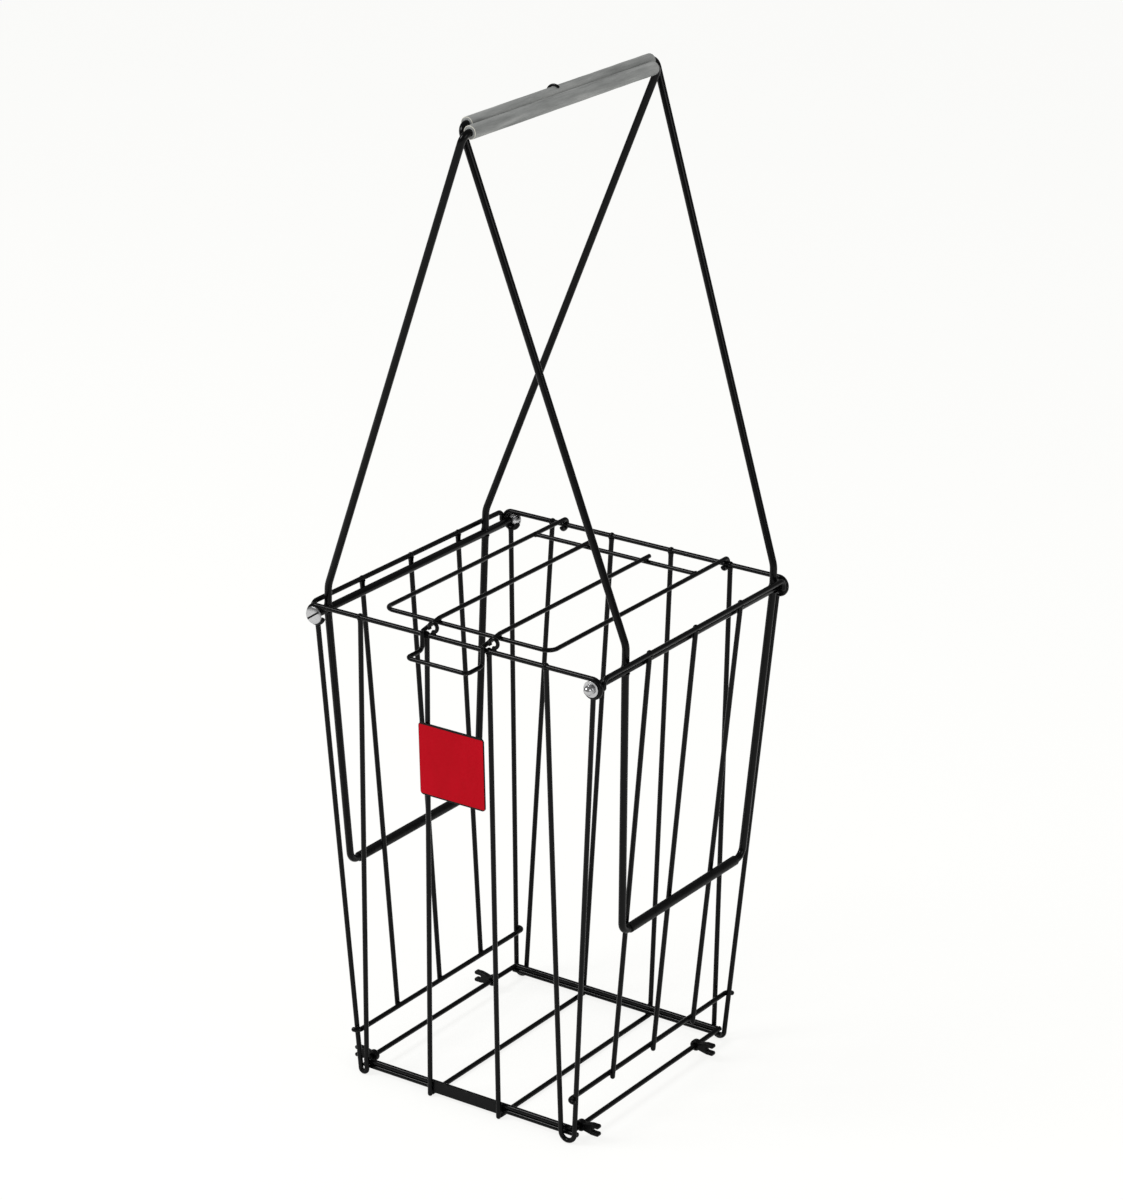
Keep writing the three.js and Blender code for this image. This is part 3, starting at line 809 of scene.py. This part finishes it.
def build_plate():
    """The plate, leaning with the front panel: a dark back and a red face set a little inside its rim."""
    lean = math.atan((PIVOT_HALF_DEPTH - FOOT_HALF_DEPTH) / (PIVOT_HEIGHT - FOOT_HEIGHT))
    off = (WIRE_R + GAP) / math.cos(lean)
    place = (PLATE_CENTRE_X, -half_depth(PLATE_CENTRE_HEIGHT) - off, PLATE_CENTRE_HEIGHT)
    seat = Matrix.Translation(place) @ Matrix.Rotation(math.pi / 2 + lean, 4, "X")
    face_height = PLATE_THICKNESS - PLATE_FACE_DEPTH / 2
    back = seat @ Matrix.Translation((0, 0, face_height / 2))
    face = seat @ Matrix.Translation((0, 0, face_height))
    outer = rounded_box(PLATE_WIDTH, PLATE_HEIGHT, PLATE_CORNER)
    less_x, less_y = PLATE_FACE_INSET
    inner = rounded_box(PLATE_WIDTH - less_x, PLATE_HEIGHT - less_y, PLATE_FACE_CORNER)
    sheet_piece("plate_back", [outer], face_height, PLATE_BACK_SOFTNESS, back, black_sheet,
                ["plate"])
    sheet_piece("plate_face", [inner], PLATE_FACE_DEPTH, PLATE_FACE_SOFTNESS, face, red)


def build_strip():
    left = FRONT_FOOT_SHARES[1] * FOOT_HALF_WIDTH + WIRE_R
    right = FRONT_FOOT_SHARES[2] * FOOT_HALF_WIDTH - WIRE_R
    y = -(BAR_DEPTH + WIRE_R + GAP + STRIP_THICKNESS / 2)
    centre = ((left + right) / 2, y, (LOW_BAR_HEIGHT + HIGH_BAR_HEIGHT) / 2)
    seat = Matrix.Translation(centre) @ Matrix.Rotation(math.pi / 2, 4, "X")
    outline = rounded_box(right - left, STRIP_HEIGHT, STRIP_CORNER)
    sheet_piece("strip_sheet", [outline], STRIP_THICKNESS, STRIP_SOFTNESS, seat, black_sheet,
                ["front_strip"])


def hook_outline():
    """A fork: a round eye for the rod, a waist and two blunt prongs."""
    half = HOOK_SPREAD / 2
    root = HOOK_REACH - HOOK_SLOT_DEPTH
    neck = HOOK_EYE * math.sqrt(0.5)
    eye = round_outline(HOOK_EYE, math.pi / 4, 7 * math.pi / 4, 28)
    fork = [(root, -half), (HOOK_REACH, -half), (HOOK_REACH, -HOOK_SLOT / 2), (root, -HOOK_SLOT / 2),
            (root, HOOK_SLOT / 2), (HOOK_REACH, HOOK_SLOT / 2), (HOOK_REACH, half), (root, half)]
    corners = [HOOK_ROOT_CORNER, *[HOOK_CORNER] * (len(fork) - 2), HOOK_ROOT_CORNER]
    rounded = smoothed([(neck, -neck), *fork, (neck, neck)], [0, *corners, 0])
    return eye + rounded[1:-1]


def build_hooks():
    outline = hook_outline()
    hole = round_outline(WIRE_R + HOOK_SLACK)[::-1]
    for side_name, side in (("left", -1), ("right", 1)):
        for place_name, y in (("front", -HOOK_FRONT_PLACE), ("back", HOOK_BACK_PLACE)):
            seat = Matrix.Translation((side * SIDE_ROD_X, y, HIGH_BAR_HEIGHT))
            if side < 0:
                seat = seat @ Matrix.Rotation(math.pi, 4, "Z")
            seat = seat @ Matrix.Rotation(math.pi / 2, 4, "X")
            name = place_name + "_" + side_name
            sheet_piece("fork_" + name, [outline, hole], HOOK_THICKNESS, HOOK_SOFTNESS, seat, black_sheet,
                        ["hook_" + name])


# Screws

def cut_slot(made, centre, axis):
    """Cuts a straight slot across a screw's head, whose walls take black as painted shade in the recess.
    """
    half = np.array([BROAD_HEAD * 3, SLOT_WIDTH, SLOT_DEPTH * 2]) * MM / 2
    ends = (-1, 1)
    corners = [tuple(half * (x, y, z)) for x in ends for y in ends for z in ends]
    faces = [(0, 1, 3, 2), (4, 6, 7, 5), (0, 4, 5, 1), (2, 3, 7, 6), (0, 2, 6, 4), (1, 5, 7, 3)]
    mesh = bpy.data.meshes.new("slot_tool")
    mesh.from_pydata(corners, [], faces)
    # The black on the slot's walls is painted shade in the recess.
    mesh.materials.append(black_sheet)
    tool = bpy.data.objects.new("slot_tool", mesh)
    bpy.context.scene.collection.objects.link(tool)
    turn = Vector((0, 0, 1)).rotation_difference(Vector(axis)).to_matrix().to_4x4()
    seat = Matrix.Translation(Vector((centre + SHIFT) * MM))
    tool.matrix_world = seat @ turn @ Matrix.Rotation(SLOT_ANGLE, 4, "Z")
    cut = made.modifiers.new("slot", "BOOLEAN")
    cut.operation = "DIFFERENCE"
    cut.object = tool
    cut.solver = "EXACT"
    cut.material_mode = "TRANSFER"
    bpy.context.view_layer.update()
    result = bpy.data.meshes.new_from_object(made.evaluated_get(bpy.context.evaluated_depsgraph_get()))
    made.modifiers.clear()
    made.data = result
    bpy.data.objects.remove(tool)
    bpy.data.meshes.remove(mesh)
    result.set_sharp_from_angle(angle=CUT_SHARP_ANGLE)


def domed(radius, foot, height):
    """Profile points of a dome from its foot's rim to its top."""
    angles = np.linspace(0, math.pi / 2, DOME_STEPS + 1)[:-1]
    return [(radius * math.cos(a), foot + (height - foot) * math.sin(a)) for a in angles] + [(0, height)]


def hexagon(angle, radius):
    """Draws a nut's round body in to six soft flats, and leaves what is narrower round."""
    if radius < CAP:
        return radius
    return radius * (1 - CAP_FLAT_SHARE * (0.5 + 0.5 * math.cos(6 * angle)))


def shank(root):
    """Profile points of a screw's plain shank, up to the seat of its head."""
    return [(0, -root), (SHANK, -root), (SHANK, 0)]


def broad_screw(name, centre, axis, metal):
    profile = [
        *shank(WIRE + SHANK_REACH),
        (BROAD_HEAD - BROAD_EDGE, 0),
        (BROAD_HEAD, BROAD_EDGE),
        *domed(BROAD_HEAD, BROAD_CROWN_FOOT, BROAD_HEIGHT),
    ]
    shape = Shape().add(*lathe(profile, centre, axis))
    made = piece("broad_screw_" + name, shape, [metal], "basket", ["screw_" + name])
    cut_slot(made, centre + axis * BROAD_HEIGHT, axis)


def cap_nut(name, centre, axis, metal):
    """A cap nut on its washer."""
    lift = WASHER_THICKNESS + GAP
    profile = [
        *shank(lift + WIRE + SHANK_REACH),
        (CAP - CAP_LOW_EDGE[0], 0),
        (CAP, CAP_LOW_EDGE[1]),
        (CAP, CAP_FOOT - CAP_HIGH_EDGE[1]),
        (CAP - CAP_HIGH_EDGE[0], CAP_FOOT),
        (CAP_WAIST, CAP_FOOT + CAP_SHOULDER),
        *domed(CAP_WAIST - CAP_DOME_EDGE[0], CAP_FOOT + CAP_DOME_EDGE[1], CAP_HEIGHT),
    ]
    nut = Shape().add(*lathe(profile, centre + axis * lift, axis, reach=hexagon))
    piece("cap_nut_" + name, nut, [metal], "basket", ["screw_" + name])
    ring = rounded_tube(WASHER, SHANK + GAP, WASHER_THICKNESS, WASHER_EDGE)
    washer = Shape().add(*lathe(ring, centre + axis * WASHER_THICKNESS / 2, axis))
    piece("flat_washer_" + name, washer, [metal], "basket", ["washer_" + name])


def build_screws():
    """Broad heads on the left and cap nuts on the right, of which the back one is black."""
    for end_name, facing in (("front", -1), ("back", 1)):
        axis = at(0, facing, 0)
        seat = facing * (RIM_DEPTH + WIRE_R + GAP)
        broad_screw(end_name + "_left", at(-PIVOT_HALF_WIDTH, seat, PIVOT_HEIGHT), axis, steel)
        metal = dark_steel if facing > 0 else steel
        cap_nut(end_name + "_right", at(PIVOT_HALF_WIDTH, seat, PIVOT_HEIGHT), axis, metal)


# Handles

def soft_tube(outer, start, end, height, foamy):
    """A soft tube along Y on a handle's bar. A foamy one is a little uneven, with marked end faces."""
    length = end - start
    outline = rounded_tube(outer, SOFT_BORE, length, SOFT_EDGE)
    low = [p for p in outline if p[1] < 0]
    high = [p for p in outline if p[1] > 0]
    step = (length - 2 * SOFT_EDGE) / SOFT_ROWS
    body = [(outer, -length / 2 + SOFT_EDGE + step * k) for k in range(1, SOFT_ROWS)]
    centre = at(0, (start + end) / 2, height)
    shape = Shape().add(*lathe(low + body + high, centre, ALONG, TUBE_SIDES))
    if not foamy:
        return shape
    for i, v in enumerate(shape.verts):
        radial = at(v[0], 0, v[2] - height)
        if np.linalg.norm(radial) > SOFT_BORE + TINY:
            wave = noise.noise(Vector(v / GRIP_WAVER_SPAN))
            shape.verts[i] = v + unit(radial) * GRIP_WAVER * wave
    for i, face in enumerate(shape.faces):
        middle = sum(shape.verts[k] for k in face) / len(face)
        across = math.hypot(middle[0], middle[2] - height)
        from_end = min(abs(middle[1] - start), abs(middle[1] - end))
        if from_end < CUT_DEPTH and across > SOFT_BORE + CUT_INSET:
            shape.marks[i] = 1
    return shape


def handle_legs():
    """Upper part of a handle, upright in its own frame, with welded feet on the pivot tube."""
    foot = TUBE / 2 - LEG_SINK
    upright = at(math.sin(RIGHT_LEAN), 0, math.cos(RIGHT_LEAN))
    line = [
        at(0, -NEAR_PIVOT, 0) + upright * foot,
        at(0, -NEAR_PIVOT, 0) + upright * HANDLE_RISE,
        at(0, -NEAR_GRIP, HANDLE_REACH),
        at(0, FAR_GRIP, HANDLE_REACH),
        at(0, FAR_PIVOT, 0) + upright * HANDLE_RISE,
        at(0, FAR_PIVOT, 0) + upright * foot,
    ]
    bends = [KNEE_BEND, HANDLE_BEND, HANDLE_BEND, KNEE_BEND]
    return Shape().add(*wire(bent(line, bends), HANDLE_WIRE, "weld", "weld", HANDLE_SIDES))


def handle_loop():
    """Lower loop of a handle, hanging straight down in its own frame."""
    foot = LEG_SINK - TUBE / 2
    line = [
        at(0, -NEAR_PIVOT, foot),
        at(0, -LOOP_NEAR, -LOOP_REACH),
        at(0, LOOP_FAR, -LOOP_REACH),
        at(0, FAR_PIVOT, foot),
    ]
    return Shape().add(*wire(bent(line, LOOP_BEND), HANDLE_WIRE, "weld", "weld", HANDLE_SIDES))


def handle_grip():
    start = -NEAR_GRIP + HANDLE_BEND + GRIP_END_GAP
    end = FAR_GRIP - HANDLE_BEND - GRIP_END_GAP
    return soft_tube(GRIP / 2, start, end, HANDLE_REACH, foamy=True)


def loop_sleeve():
    start = -LOOP_NEAR + LOOP_BEND + GRIP_END_GAP
    end = LOOP_FAR - LOOP_BEND - GRIP_END_GAP
    return soft_tube(SLEEVE / 2, start, end, -LOOP_REACH, foamy=False)


def pivot_pipe(shift):
    """The pivot tube, as long as the basket leaves room, whatever the handle's shift along it."""
    length = (RIM_DEPTH - WIRE_R - GAP) * 2
    profile = rounded_tube(TUBE / 2, TUBE_BORE / 2, length, TUBE_EDGE)
    return Shape().add(*lathe(profile, at(0, shift, 0), ALONG, TUBE_SIDES))


def build_handle(name, side, lean, shift):
    """One handle. The left one is turned half round and moved back."""
    body = name + "_handle"
    bar_x = side_wall_x(PIVOT_HEIGHT - LOOP_REACH) + WIRE_R + GAP + SLEEVE / 2
    kink = RIGHT_LEAN + math.atan((PIVOT_HALF_WIDTH - bar_x) / LOOP_REACH)
    seat = Matrix.Translation((side * PIVOT_HALF_WIDTH, shift, PIVOT_HEIGHT))
    if side < 0:
        seat = seat @ Matrix.Rotation(math.pi, 4, "Z")
    upper = seat @ Matrix.Rotation(-lean, 4, "Y")
    lower = upper @ Matrix.Rotation(kink, 4, "Y")
    grip = handle_grip().turned(upper)
    sleeve = loop_sleeve().turned(lower)
    wire_piece("pivot_pipe_" + name, pivot_pipe(-shift * side).turned(upper), body, "pivot_tube_" + name)
    wire_piece("legs_" + name, handle_legs().turned(upper), body, "handle_" + name)
    wire_piece("loop_" + name, handle_loop().turned(lower), body, "handle_loop_" + name)
    piece("foam_grip_" + name, grip, [grey_foam, cream_foam], body, ["grip_" + name])
    piece("bar_sleeve_" + name, sleeve, [black_tube], body, ["sleeve_" + name])
    if side > 0:
        radius = GRIP / 2 + CLIP_WIRE / 2 + CLIP_LIFT
        line = arc(at(0, 0, HANDLE_REACH), ACROSS, UP, radius, CLIP_START, CLIP_START + CLIP_TURN)
        clip = Shape().add(*wire(line, CLIP_WIRE, "nub", "nub", SMALL_SIDES))
        wire_piece("clip_wire", clip.turned(upper), body, "grip_clip")


def build_handles():
    build_handle("right", 1, RIGHT_LEAN, 0.0)
    build_handle("left", -1, LEFT_LEAN, LEFT_SHIFT)


# Lid

def pull_arm(x):
    """Corners of one arm of the pull wire, from the cross wire over the rim to the pull's end."""
    drop_y = -(RIM_DEPTH + WIRE_R + GAP + LID_R)
    low = LID_HEIGHT - PULL_DROP
    return [
        at(x, LID_CROSS_BACK + PULL_TAIL, PULL_HEIGHT),
        at(x, -LID_FRONT, PULL_HEIGHT),
        at(x, drop_y, LID_HEIGHT),
        at(x, drop_y, low),
        at(x, drop_y - PULL_REACH, low),
    ]


def build_lid():
    curl = WIRE_R + GAP + LID_R
    left_curl = arc(at(-LID_LEFT, RIM_DEPTH, RIM_HEIGHT), UP, ALONG, curl, CURL_TURN, 0)
    right_curl = arc(at(LID_RIGHT, RIM_DEPTH, RIM_HEIGHT), UP, ALONG, curl, 0, CURL_TURN)
    corners = [at(-LID_LEFT, RIM_DEPTH, LID_HEIGHT), at(-LID_LEFT, -LID_FRONT, LID_HEIGHT),
               at(LID_RIGHT, -LID_FRONT, LID_HEIGHT), at(LID_RIGHT, RIM_DEPTH, LID_HEIGHT)]
    line = left_curl + bent(corners, LID_CORNER_BEND)[1:-1] + right_curl
    wire_piece("lid_wire", Shape().add(*wire(line, LID_WIRE)), "lid", "lid_frame")
    cross_left = at(-LID_LEFT + CROSS_INSET, LID_CROSS_BACK, LID_HEIGHT)
    cross_right = at(LID_RIGHT - CROSS_INSET, LID_CROSS_BACK, LID_HEIGHT)
    wire_piece("lid_bar", rod(cross_left, cross_right, LID_WIRE, "weld"), "lid", "lid_cross_wire")
    bends = [PULL_BEND, PULL_BEND / 2, PULL_BEND, PULL_CORNER_BEND]
    line = bent(pull_arm(-PULL_LEFT) + pull_arm(PULL_RIGHT)[::-1], bends + bends[::-1])
    pull = Shape().add(*wire(line, LID_WIRE))
    between = LID_HEIGHT + LID_R + GAP / 2
    for x in (-PULL_LEFT, PULL_RIGHT):
        for y in (LID_CROSS_BACK, -LID_FRONT):
            pull.add(*bead(at(x, y, between), ALONG, LID_BEAD, LID_WIRE))
    wire_piece("pull_wire", pull, "lid", "lid_pull_wire")


def build_catches():
    outer = CATCH_RADIUS + CATCH_WIRE / 2
    for name, x in (("left", -PULL_LEFT), ("right", PULL_RIGHT)):
        centre = at(x + LID_R + GAP + outer, -RIM_DEPTH, RIM_HEIGHT + WIRE_R + GAP + outer)
        line = arc(centre, ACROSS, UP, CATCH_RADIUS, -math.pi / 2, -math.pi / 2 + CATCH_TURN)
        shape = Shape().add(*wire(line, CATCH_WIRE, "nub", "cut", CATCH_SIDES))
        foot = at(centre[0], centre[1], RIM_HEIGHT + WIRE_R + GAP / 2)
        shape.add(*bead(foot, ACROSS, CATCH_BEAD, CATCH_WIRE))
        wire_piece("catch_curl_" + name, shape, "basket", "catch_" + name)


# Surroundings

def path_share(tree, share, kinds):
    """The given share for the kinds of ray named, and 0 for others."""
    rays = tree.nodes.new("ShaderNodeLightPath")
    total = rays.outputs[kinds[0]]
    for kind in kinds[1:]:
        most = tree.nodes.new("ShaderNodeMath")
        most.operation = "MAXIMUM"
        tree.links.new(total, most.inputs[0])
        tree.links.new(rays.outputs[kind], most.inputs[1])
        total = most.outputs[0]
    scale = tree.nodes.new("ShaderNodeMath")
    scale.operation = "MULTIPLY"
    scale.inputs[1].default_value = share
    tree.links.new(total, scale.inputs[0])
    return scale.outputs[0]


def build_floor():
    """A pale floor, which glows a little where it is seen directly."""
    mesh = bpy.data.meshes.new("floor")
    signs = [(-1, -1), (1, -1), (1, 1), (-1, 1)]
    corners = [(x * FLOOR_HALF, y * FLOOR_HALF, -FLOOR_DROP) for x, y in signs]
    mesh.from_pydata(corners, [], [(0, 1, 2, 3)])
    floor = bpy.data.objects.new("floor", mesh)
    bpy.context.scene.collection.objects.link(floor)
    made, tree, shader = fresh("pale_floor")
    tone = mottle(tree, placed(tree), 3)
    stops = [(0.3, [c * 0.985 for c in FLOOR_COLOUR]), (0.7, FLOOR_COLOUR)]
    tree.links.new(shades(tree, tone, stops), shader.inputs["Base Color"])
    shader.inputs["Roughness"].default_value = 0.9
    shader.inputs["Specular IOR Level"].default_value = 0.1
    glow = tree.nodes.new("ShaderNodeEmission")
    glow.inputs["Color"].default_value = (1.0, 1.0, 0.985, 1)
    glow.inputs["Strength"].default_value = FLOOR_GLOW
    mix = tree.nodes.new("ShaderNodeMixShader")
    tree.links.new(path_share(tree, FLOOR_GLOW_SHARE, SEEN_RAYS), mix.inputs["Fac"])
    tree.links.new(shader.outputs["BSDF"], mix.inputs[1])
    tree.links.new(glow.outputs["Emission"], mix.inputs[2])
    tree.links.new(mix.outputs["Shader"], tree.nodes["Material Output"].inputs["Surface"])
    mesh.materials.append(made)


def build_world():
    """White to the camera, a softer white as light, and dimmer still in reflections."""
    world = bpy.data.worlds.new("surroundings")
    bpy.context.scene.world = world
    world.use_nodes = True
    tree = world.node_tree
    back = tree.nodes["Background"]
    back.inputs["Color"].default_value = (1.0, 1.0, 0.99, 1)
    mirrored = tree.nodes.new("ShaderNodeMath")
    mirrored.operation = "SUBTRACT"
    mirrored.inputs[0].default_value = WORLD_LEVEL
    tree.links.new(path_share(tree, WORLD_LEVEL - WORLD_GLOSS, ["Is Glossy Ray"]), mirrored.inputs[1])
    strength = tree.nodes.new("ShaderNodeMath")
    strength.operation = "ADD"
    tree.links.new(path_share(tree, 1 - WORLD_LEVEL, ["Is Camera Ray"]), strength.inputs[0])
    tree.links.new(mirrored.outputs[0], strength.inputs[1])
    tree.links.new(strength.outputs[0], back.inputs["Strength"])


def lamp(name, place, aim, size, power):
    light = bpy.data.lights.new(name, "AREA")
    light.shape = "DISK"
    light.size = size
    light.energy = power
    made = bpy.data.objects.new(name, light)
    bpy.context.scene.collection.objects.link(made)
    made.location = place
    made.rotation_mode = "QUATERNION"
    made.rotation_quaternion = (Vector(aim) - Vector(place)).to_track_quat("-Z", "Y")


def build_camera():
    data = bpy.data.cameras.new("camera")
    made = bpy.data.objects.new("camera", data)
    bpy.context.scene.collection.objects.link(made)
    data.sensor_width = SENSOR
    data.lens = CAMERA_FOCAL_PX * SENSOR / PHOTO_HEIGHT_PX
    data.clip_start, data.clip_end = CAMERA_CLIP
    az, down, roll = CAMERA_AZIMUTH, CAMERA_DOWN, CAMERA_ROLL
    ahead = Vector((math.sin(az) * math.cos(down), math.cos(az) * math.cos(down), -math.sin(down)))
    level = Vector((math.cos(az), -math.sin(az), 0))
    over = level.cross(ahead)
    right = math.cos(roll) * level + math.sin(roll) * over
    top = -math.sin(roll) * level + math.cos(roll) * over
    turn = Matrix((right, top, -ahead)).transposed()
    made.matrix_world = Matrix.Translation(Vector(CAMERA_PLACE * MM)) @ turn.to_4x4()
    bpy.context.scene.camera = made


build_camera()
build_basket()
build_plate()
build_strip()
build_hooks()
build_screws()
build_handles()
build_lid()
build_catches()
build_floor()
build_world()
lamp("key", place=(-1.6, -1.8, 2.6), aim=(0, 0, 0.35), size=1.2, power=46)
lamp("side", place=(2.4, -0.6, 1.5), aim=(0, 0, 0.4), size=1.4, power=12)

bpy.context.scene.view_settings.view_transform = "Standard"
